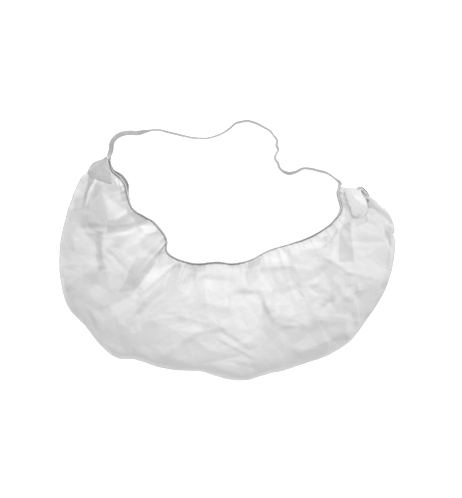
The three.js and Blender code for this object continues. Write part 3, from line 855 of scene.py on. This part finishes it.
# Height of the charted folds at plan places: the sum of tents, each 1 at its line, falling
# straight to 0 over its own flank and past its ends.
def foldHeight(plan):
    height = np.zeros(plan.shape[:-1])
    for x0, y0, x1, y1, rise, left, right in foldChart:
        start, end = photoPlace(x0, y0), photoPlace(x1, y1)
        line = end - start
        length = np.linalg.norm(line)
        offset = plan - start
        along = offset @ line / length
        side = (line[0] * offset[..., 1] - line[1] * offset[..., 0]) / length
        flank = np.where(side > 0, left, right) * mm
        past = np.maximum(0, np.maximum(-along, along - length))
        tent = np.clip(1 - np.abs(side) / flank, 0, 1) * np.clip(1 - past / pouchLook["foldFade"], 0, 1)
        height += rise * mm * tent
    return height * pouchLook["foldStrength"]


# Painted shade (above 0) and painted light (below 0) at plan places. For each outline the
# distance to its nearest edge is taken, positive inside (a ray to the right crosses the outline
# an odd number of times), and a smooth step over the fade turns it into a share.
def layersAndShadeAt(plan):
    total = np.zeros(plan.shape[:-1])
    for amount, fade, *outline in layerAndShadeChart:
        corners = photoPlace(outline[::2], outline[1::2])
        nearest = np.full(plan.shape[:-1], np.inf)
        inside = np.zeros(plan.shape[:-1], bool)
        for start, end in zip(corners, np.roll(corners, -1, axis=0)):
            line = end - start
            offset = plan - start
            share = np.clip(offset @ line / (line @ line), 0, 1)
            nearest = np.minimum(nearest, np.linalg.norm(offset - share[..., None] * line, axis=-1))
            level = (start[1] > plan[..., 1]) != (end[1] > plan[..., 1])
            climb = line[1] if abs(line[1]) > tiny else tiny
            crossing = start[0] + (plan[..., 1] - start[1]) * line[0] / climb
            inside ^= level & (plan[..., 0] < crossing)
        total += amount * smoothStep(np.where(inside, nearest, -nearest) / (fade * mm) + 0.5)
    return total


# Crumpled facets: heights drawn at the corners of a triangular lattice and carried straight
# across each triangle, so that flat facets meet in sharp creases. The lattice is turned and
# bent by slow sine waves first, so that no two facets are alike.
def facetHeight(plan, size, seed):
    random = np.random.default_rng(seed)
    turn = random.uniform(0, 2 * np.pi)
    spin = np.array([[np.cos(turn), -np.sin(turn)], [np.sin(turn), np.cos(turn)]])
    place = plan @ spin / size
    bent = place.copy()
    for length, reach in ((3.7, 0.5), (1.9, 0.28)):
        phases = random.uniform(0, 2 * np.pi, 2)
        bent[..., 0] += reach * np.sin(2 * np.pi * place[..., 1] / length + phases[0])
        bent[..., 1] += reach * np.sin(2 * np.pi * place[..., 0] / length + phases[1])
    skewed = bent + bent.sum(axis=-1, keepdims=True) * (np.sqrt(3) - 1) / 2
    corner = np.floor(skewed).astype(int)
    a, b = skewed[..., 0] - corner[..., 0], skewed[..., 1] - corner[..., 1]
    cells = 64
    heights = random.uniform(-1, 1, (cells, cells))
    at = lambda i, j: heights[(corner[..., 0] + i) % cells, (corner[..., 1] + j) % cells]
    low, high = at(0, 0), at(1, 1)
    side = np.where(a > b, at(1, 0), at(0, 1))
    return low + (side - low) * np.maximum(a, b) + (high - side) * np.minimum(a, b)


# Gathers along the mouth: pointed waves across the rim that fade into the cloth. Their
# heights wander along it, so that there are stretches with none.
def gatherHeight(travelled, inward, seed):
    look = pouchLook
    random = np.random.default_rng(seed)
    marks = np.arange(0, travelled[-1] + 0.05, look["wanderPitch"])
    drawn = lambda low, high: random.uniform(low, high, len(marks))
    wander = np.interp(travelled, marks, drawn(-0.9, 0.9))
    waves = 0
    for pitch, height, reach, bend, most, power in look["gathers"]:
        heights = height * np.interp(travelled, marks, drawn(0.0, most) ** power)
        wave = 1 - 2 * np.abs(np.sin(np.pi * travelled / pitch + bend * wander))
        waves = waves + (heights * wave)[:, None] * np.exp(-inward / reach)
    calm = np.clip((travelled[-1] - travelled) / look["calmEnd"], look["calmLeast"], 1)[:, None]
    return waves * calm * (1 - look["smoothShare"] * np.exp(-inward / look["smoothEdge"]))


# Shares u of the pouch's length, evenly spaced along its middle line.
def evenShares(count):
    fine = np.linspace(0, 1, 4000)
    parts = sectionsAt(fine)
    middle = (parts["front"] + parts["hem"]) / 2
    travelled = lengthAlong(middle)
    wanted = np.linspace(0, travelled[-1], count)
    return np.interp(wanted, travelled, fine), wanted


# Height of the front layer without folds at share w across a section: from the mouth it
# rises on a parabola to the crown, and from there a rounded curve falls to the hem.
def frontHeight(parts, w):
    top, roundness = net["crownPlace"], net["hemRoundness"]
    before = np.clip(1 - w / top, 0, 1)
    beyond = np.clip((w - top) / (1 - top), 0, 1)
    rising = parts["edge"] + (parts["crown"] - parts["edge"]) * (1 - before**2)
    falling = (1 - beyond**roundness) ** (1 / roundness)
    return np.where(w < top, rising, parts["side"] + (parts["crown"] - parts["side"]) * falling)


# Plan places at shares w across the sections, straight from the rim to the hem. The hem runs
# anticlockwise round the net, so its right side is outside, and the outline is shifted there.
def acrossSections(parts, edge, w, overlap):
    first = parts[edge] + parts["outward"] * overlap
    ahead = unit(np.gradient(parts["hem"], axis=0))
    shift = np.stack([ahead[:, 1], -ahead[:, 0]], axis=-1) * outlineShift(parts["hem"])[:, None]
    share = w[None, :, None]
    return first[:, None] + (parts["hem"] - first)[:, None] * share + shift[:, None] * share**6


# Upward normals of a grid of points: the product of its two directions.
def surfaceNormals(points):
    return unit(np.cross(np.gradient(points, axis=1), np.gradient(points, axis=0)))


# Shares that lie closer together towards 1, where the cloth bends most.
def crowded(share):
    return (share + np.sin(share * np.pi / 2)) / 2


# The pouch's facets of every size, each with a seed of its own.
def facetsAt(plan, seed):
    return sum(rise * facetHeight(plan, size, seed + k) for k, (size, rise) in enumerate(pouchLook["facets"]))


# Folds and facets at plan places: full over most of the cloth, less at the rim and the hem.
def wrinkleHeight(plan, inward, w):
    look = pouchLook
    rimFade = np.clip(inward / look["rimFade"], 0, 1)
    hemFade = np.clip((1 - w) / look["hemFade"], 0, 1)
    kept = look["rimFacets"] + (1 - look["rimFacets"]) * hemFade
    return foldHeight(plan) * rimFade * hemFade + facetsAt(plan, 11) * rimFade * kept


# The front layer: the smooth height moved out along its normals by folds, facets, gathers
# and a slight push at the hem.
def foldedFront(parts, w):
    look = pouchLook
    plan = acrossSections(parts, "front", w, look["overlap"] + look["cover"] * parts["covered"][:, None])
    column = {key: parts[key][:, None] for key in ("crown", "edge", "side")}
    surface = np.concatenate([plan, frontHeight(column, w[None])[..., None]], axis=-1)
    inward = np.linalg.norm(plan - plan[:, :1], axis=-1)
    offset = wrinkleHeight(plan, inward, w[None]) + look["hemPush"] * w**12
    offset += gatherHeight(lengthAlong(parts["front"]), inward, 5)
    return surface + surfaceNormals(surface) * offset[..., None]


# The back layer: flat on the surface, rolled up a quarter ellipse to the hem, and lifted a
# little to the back elastic.
def creasedBack(parts, w):
    look = pouchLook
    plan = acrossSections(parts, "back", w, look["overlap"])
    curled = 1 - net["flatShare"]
    beyond = np.clip((w - net["flatShare"]) / curled, 0, 1)[None]
    before = np.clip(1 - w / curled, 0, 1)[None]
    height = parts["side"][:, None] * (1 - np.sqrt(1 - beyond**2))
    height = height + (backElasticHeight - net["clothWall"]) * before**2
    inward = np.linalg.norm(plan - plan[:, -1:], axis=-1)
    lowest = sum(rise for size, rise in look["facets"])
    facets = lowest + facetsAt(plan, 31)
    height = height + facets * np.clip((1 - w) / look["underFade"], 0, 1)[None]
    gathers = gatherHeight(lengthAlong(parts["back"]), inward, 8)
    height = height + look["underGathers"] * np.maximum(gathers, 0)
    return np.concatenate([plan, np.maximum(height, 0)[..., None]], axis=-1)


def thicken(piece, offset):
    wall = piece.modifiers.new("wall", "SOLIDIFY")
    wall.thickness = pouchLook["thickness"]
    wall.offset = offset
    return piece


# The pouch's cloth: the front layer's grid from the mouth to the hem, and the back layer's
# from there to the mouth again.
def pouchPiece():
    look = pouchLook
    u, travelled = evenShares(look["columns"])
    parts = sectionsAt(u)
    front = foldedFront(parts, crowded(np.linspace(0, 1, look["topRows"])))
    back = creasedBack(parts, crowded(np.linspace(1, 0, look["underRows"]))[1:])
    points = np.concatenate([front, back], axis=1)
    across = np.linalg.norm(np.diff(points, axis=1), axis=-1)
    down = np.concatenate([np.zeros((len(u), 1)), np.cumsum(across, axis=1)], axis=1)
    flat = np.stack([np.broadcast_to(travelled[:, None], down.shape), down], axis=-1)
    plan, hemRow = points[..., :2], look["topRows"] - 1
    fromHem = np.linalg.norm(plan - plan[:, hemRow : hemRow + 1], axis=-1)
    # the hem band adds painted shade along the outline, partly for the cloth seen edge-on there
    layers = layersAndShadeAt(plan) + look["hemPaintedShade"] * np.exp(-((fromHem / look["hemBand"]) ** 2))
    layers[:, look["topRows"] :] = 0
    piece = gridPiece("pouch_cloth", points, flat)
    setAttribute(piece, "layers", layers)
    return thicken(piece, -1), down


pouch, down = pouchPiece()
finishPiece(pouch, cloth, "nonwoven_cloth", "pouch")
print("pouch made, girth up to", round(float(down[:, -1].max()), 3), "m")

# The two elastics along the mouth.
mouthLook = {
    "thickness": 1.15 * mm,
    "step": 0.9 * mm,
    "clothGap": 0.1 * mm,
    "swayPitch": 4 * mm,
    "wobble": 0.2 * mm,
    "sink": 2.4 * mm,
    "lean": 6,
    # photo pixel x and y of a point of the rim, how many degrees the band leans outwards there
    # and its shade
    # the shade is painted shade above 0 and painted light below 0
    "shades": [
        (108, 159, 20, 0.3), (110, 167, 14, 0.2), (114, 173, 2, 0), (128, 198, 0, -0.1),
        (166, 243, 0, -0.2), (186, 264, 0, -0.2), (198, 266, 0, 0.1), (215, 265, 0, 0),
        (240, 265, 0, -0.3), (252, 262, 0, -0.6), (286, 251, 0, -0.6), (300, 243, 0, -0.1),
        (315, 238, 0, 0.1), (338, 219, 0, 0), (342, 205, 0, -0.3), (341, 190, 0, -0.4),
    ],
    # the back band is lighter by this much: painted light
    "backPaintedLight": 0.35,
}


# A band's middle line along the rim, with its lean and shade: the rim moved outwards by half
# the band, swaying a little, and sunk where the cloth's edge covers it.
def mouthPath(edge, seed):
    look = mouthLook
    parts = sectionsAt(np.linspace(0, 1, 1500))
    height = parts["edge"] - net["clothWall"] / 2 - look["sink"] * parts["covered"]
    if edge == "back":
        height = np.full(len(height), backElasticHeight)
    side = pouchLook["overlap"] + look["clothGap"] + look["thickness"] / 2
    plan = parts[edge] + parts["outward"] * side
    path, travelled = evenly(np.column_stack([plan, height]), look["step"])
    random = np.random.default_rng(seed)
    marks = np.arange(0, travelled[-1] + 0.02, look["swayPitch"])
    sway = lambda: np.interp(travelled, marks, random.uniform(-1, 1, len(marks)))
    path[:, 2] = np.maximum(path[:, 2] + look["wobble"] * sway(), backElasticHeight)
    lean, shade = chartAlong(look["shades"], path[:, :2], travelled, travelled)
    paler = look["backPaintedLight"] if edge == "back" else 0
    return path, look["lean"] * sway() + lean, shade - paler


mouthPaths = {"front": mouthPath("front", 31), "back": mouthPath("back", 32)}
for edge, (path, lean, shade) in mouthPaths.items():
    band = bandPiece(edge + "_mouth_band", path, lean, shade, net["elasticWidth"], mouthLook["thickness"])
    finishPiece(band, edgeElastic, "knitted_elastic", edge + "_mouth_elastic")
print("mouth elastics made")


# The overcast stitches that hold the elastics: a sewing thread wound round the band, an
# ellipse about it that moves on by one pitch each turn. The ring of the thread itself is
# turned by the line from the band's middle.
stitchLook = {
    "pitch": 2.6 * mm,
    "radius": 0.13 * mm,
    "sunk": 0.1 * mm,
    "loose": 0.45 * mm,
    "stepsPerTurn": 14,
    "sides": 6,
}


def windingThread(name, path):
    look = stitchLook
    wide = net["elasticWidth"] - look["sunk"]
    thick = mouthLook["thickness"] + look["loose"]
    radius = look["radius"]
    path, travelled = evenly(path, look["pitch"] / look["stepsPerTurn"])
    side, up = sideAndUp(path)
    turn = 2 * np.pi * travelled / look["pitch"]
    offset = up * (np.cos(turn) * wide / 2)[:, None] + side * (np.sin(turn) * thick / 2)[:, None]
    line = path + offset
    ahead = unit(np.gradient(line, axis=0))
    across = unit(np.cross(ahead, unit(offset)))
    outwards = np.cross(across, ahead)
    ring = np.linspace(0, 2 * np.pi, look["sides"] + 1)
    wave = ring[None, :-1, None]
    points = line[:, None] + radius * (outwards[:, None] * np.cos(wave) + across[:, None] * np.sin(wave))
    flat = flatGrid(lengthAlong(line), radius * ring)
    return gridPiece(name, points[:, ::-1], flat, closed=True, caps=True)


for edge, (path, lean, shade) in mouthPaths.items():
    finishPiece(windingThread(edge + "_mouth_stitches", path), thread, "knitted_elastic")
print("stitches made")


# The turned-over ends, laid on the front layer: each is ruled between two edges in photo
# pixels, from the tip of the net inwards.
tuckLook = {
    "layers": 2,
    "layerStep": 0.3 * mm,
    "layerShrink": 0.06,
    "lift": 0.9 * mm,
    "seat": 0.45 * mm,
    "bridge": 0.8,
    "clearShare": 80,
    "sink": 0.9 * mm,
    "ruffle": 0.5 * mm,
    "ruffleSize": 7 * mm,
    "edgeWave": 0.25 * mm,
    "rows": 60,
    "columns": 44,
    "flatSize": (20 * mm, 24 * mm),
    "left": {
        "outer": [
            (105.8, 156.4), (102, 158.8), (97, 160.4), (92.6, 162.6), (89.6, 166.8), (87.6, 170.6),
            (89, 173.5), (90, 178),
        ],
        "inner": [
            (107, 157), (107.6, 161), (108.8, 166), (110.4, 171), (111.2, 175), (111.4, 179),
            (111.6, 183.5),
        ],
    },
    "right": {
        "outer": [(344.5, 187.6), (345, 194), (347.5, 201), (350, 208), (352, 214), (355, 218.5)],
        "inner": [(359, 187.8), (361.5, 193), (364.5, 199.5), (367, 205.5), (367, 211.5), (362, 218)],
    },
}


# Shares u and w of places seen from above, by Newton steps: what is missing in plan is
# shared out between the surface's own two directions, along the net and across it.
def sharesOf(plan, guess):
    u = np.full(plan.shape[:-1], guess)
    w = np.full(plan.shape[:-1], 0.5)
    step = 1e-3
    cross = lambda a, b: a[..., 0] * b[..., 1] - a[..., 1] * b[..., 0]
    for _ in range(14):
        here, ahead = sectionsAt(u), sectionsAt(u + step)
        across = here["hem"] - here["front"]
        place = here["front"] + across * w[..., None]
        along = (ahead["front"] + (ahead["hem"] - ahead["front"]) * w[..., None] - place) / step
        missing = plan - place
        area = cross(along, across)
        area = np.where(np.abs(area) < tiny, tiny, area)
        u = np.clip(u + np.clip(cross(missing, across) / area, -0.02, 0.02), 0, 1 - step)
        w = np.clip(w + np.clip(cross(along, missing) / area, -0.3, 0.3), 0, 1)
    return u, w


# Height of the pouch's front, with its wrinkles, at places seen from above.
def heightOn(plan, guess):
    u, w = sharesOf(plan, guess)
    parts = sectionsAt(u)
    inward = np.linalg.norm(plan - parts["front"], axis=-1)
    return frontHeight(parts, w) + wrinkleHeight(plan, inward, w)


# One layer of a tuck, at shares a across and b inwards: a low pillow over the cloth, lowest
# along the free edges and sunk into the cloth at its inner end.
def tuckSheet(name, side, guess, layer):
    look = tuckLook
    a = np.linspace(0, 1, look["columns"])
    b = np.linspace(0, 1, look["rows"])
    outer, inner = (smoothThrough(photoPlace(*zip(*look[side][key])), b) for key in ("outer", "inner"))
    shrink = look["layerShrink"] * layer
    share = (shrink / 2 + (1 - shrink) * a)[:, None, None]
    plan = outer[None] * (1 - share) + inner[None] * share
    plan = plan + look["edgeWave"] * np.sin(17 * b + 3 * layer)[None, :, None] * (2 * share - 1)
    pillow = (4 * a * (1 - a))[:, None] ** 0.6 * (1 - b**3)[None, :]
    lift = look["seat"] + (look["lift"] + look["layerStep"] * layer) * pillow - look["sink"] * (b**6)[None, :]
    ruffles = 0.5 + 0.5 * facetHeight(plan, look["ruffleSize"], 50 + layer)
    under = heightOn(plan, guess) + lift + look["ruffle"] * pillow * ruffles
    # stiffer than the pouch, it bridges its wrinkles: a plane fitted to what lies under it
    places = np.column_stack([plan.reshape(-1, 2), np.ones(under.size)])
    plane = (places @ np.linalg.lstsq(places, under.ravel(), rcond=None)[0]).reshape(under.shape)
    plane = plane + np.percentile(under - plane, look["clearShare"])
    level = look["bridge"] * plane + (1 - look["bridge"]) * under
    settled = (b**3)[None, :]
    height = np.maximum(under, level) * (1 - settled) + under * settled
    points = np.concatenate([plan, height[..., None]], axis=-1)
    high, wide = look["flatSize"]
    flat = flatGrid(a * high, b * wide)
    return thicken(gridPiece(name, points[:, ::-1], flat[:, ::-1]), -1)


# The sheet's rolled hem at the right end: a spiral carried along a route in photo pixels, its
# radius growing with the turn and dying away at both ends of the route.
hemLook = {
    "route": [(357.8, 188), (361, 189), (364.3, 191.8), (367, 195.8), (368, 199.6)],
    "turns": 1.25,
    "radius": 2.3 * mm,
    "seat": 6.5 * mm,
    "flatRadius": 1.2 * mm,
    "innerShare": 0.45,
    "endShare": 0.15,
    "steps": (40, 48),
}


def rolledHem(name, guess):
    look = hemLook
    share = np.linspace(0, 1, look["steps"][0])
    plan = smoothThrough(photoPlace(*zip(*look["route"])), share)
    path = np.column_stack([plan, heightOn(plan, guess) + look["seat"]])
    side, up = sideAndUp(path)
    turn = np.linspace(-np.pi / 2, (2 * look["turns"] - 0.5) * np.pi, look["steps"][1])
    growth = np.linspace(look["innerShare"], 1, len(turn))
    swelling = look["endShare"] + (1 - look["endShare"]) * np.sin(np.pi * share) ** 0.7
    radius = (look["radius"] * growth[None] * swelling[:, None])[..., None]
    wave = turn[None, :, None]
    points = path[:, None] + radius * (side[:, None] * np.cos(wave) + up[:, None] * np.sin(wave))
    flat = flatGrid(lengthAlong(path), turn * look["flatRadius"])
    return thicken(gridPiece(name, points[:, ::-1], flat), 0)


# the left tuck's darker cloth is painted shade over its stacked layers, the right tuck's slightly darker
# cloth painted shade too
for side, guess, material in (("left", 0.03, stackedShadedCloth), ("right", 0.96, turnedCloth)):
    name = side + "_end_tuck"
    sheets = [tuckSheet(name + "_layer", side, guess, layer) for layer in range(tuckLook["layers"])]
    finishPiece(joinPieces(name + "_cloth", sheets), material, "nonwoven_cloth", name)
# the rolled hem's darker cloth is painted shade in the roll
finishPiece(rolledHem("right_end_rolled_hem", 0.96), rolledShadedCloth, "nonwoven_cloth")
print("end tucks made")


# Plain white floor and soft studio light: a large panel behind the net and a little to its
# right, and an even white surround.
studio = {
    "floorColour": (0.9, 0.9, 0.9),
    "floorGlow": 0.8,
    "floorHalf": 3.0,
    "floorHeight": -0.2 * mm,
    "surround": 0.60,
    "panelPlace": (0.40, 1.60, 1.40),
    "panelSize": 0.9,
    "panelPower": 27.0,
}


def studioStage():
    half = studio["floorHalf"]
    floorMesh = bpy.data.meshes.new("floor")
    plan = ((-half, -half), (half, -half), (half, half), (-half, half))
    floorMesh.from_pydata([(x, y, studio["floorHeight"]) for x, y in plan], [], [(0, 1, 2, 3)])
    floor = bpy.data.objects.new("floor", floorMesh)
    bpy.context.scene.collection.objects.link(floor)
    f = Finish("white_floor")
    white = (1, 1, 1, 1)
    glow = {"Specular IOR Level": 0.0, "Emission Color": white, "Emission Strength": studio["floorGlow"]}
    floorMesh.materials.append(f.done(f.surface((*studio["floorColour"], 1), 0.9, glow)))
    world = bpy.data.worlds.new("surround")
    world.use_nodes = True
    background = world.node_tree.nodes["Background"].inputs
    background["Color"].default_value = white
    background["Strength"].default_value = studio["surround"]
    bpy.context.scene.world = world
    panel = bpy.data.objects.new("panel", bpy.data.lights.new("panel", "AREA"))
    panel.data.size = studio["panelSize"]
    panel.data.energy = studio["panelPower"]
    panel.location = studio["panelPlace"]
    panel.rotation_euler = (-panel.location).to_track_quat("-Z", "Y").to_euler()
    bpy.context.scene.collection.objects.link(panel)
    bpy.context.scene.view_settings.view_transform = "Standard"


studioStage()
print("stage and light set")
